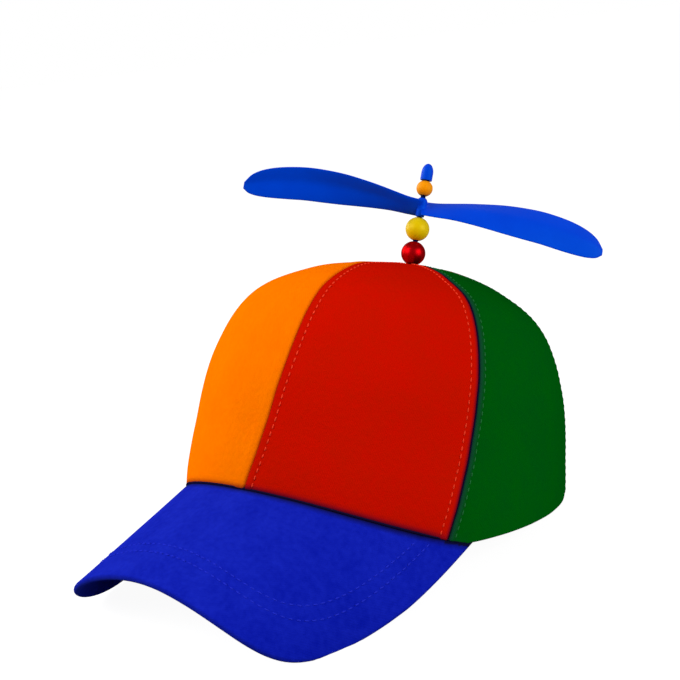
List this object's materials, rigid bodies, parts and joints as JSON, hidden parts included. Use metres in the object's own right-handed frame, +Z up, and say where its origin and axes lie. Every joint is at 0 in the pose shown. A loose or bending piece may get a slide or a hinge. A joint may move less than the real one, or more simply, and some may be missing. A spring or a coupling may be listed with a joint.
{
  "type": "propeller beanie",
  "caption": "Cloth cap of coloured panels with an arched stiff peak and a propeller that spins on a beaded stem at the top of the crown.",
  "frame": {"origin": "on the floor, under the middle of the whole part's box", "axes": "+Z up from the floor, the peak points towards -Y, the wearer's left is +X"},
  "size_m": [0.164, 0.2572, 0.1692],
  "materials": {
    "orange_cloth": "brushed cotton",
    "red_cloth": "brushed cotton",
    "green_cloth": "brushed cotton",
    "blue_cloth": "brushed cotton",
    "blue_plastic": "satin",
    "red_gloss": "gloss",
    "yellow_satin": "satin",
    "orange_satin": "satin"
  },
  "bodies": {
    "cap": {"panel_front_left": "red_cloth", "panel_side_left": "green_cloth", "panel_back_left": "orange_cloth", "panel_back_right": "blue_cloth", "panel_side_right": "red_cloth", "panel_front_right": "orange_cloth", "peak": "blue_cloth", "stem": "blue_plastic", "bead_red": "red_gloss", "bead_yellow": "yellow_satin", "bead_orange": "orange_satin", "stem_tip": "blue_plastic"},
    "propeller": {"propeller": "blue_plastic"}
  },
  "joints": [
    {"name": "propeller_spin", "type": "hinge", "parent": "cap", "child": "propeller", "pos_m": [0.00021, 0.07388, 0.1412], "axis": [0.0421, 0.395, 0.9177], "continuous": true}
  ]
}
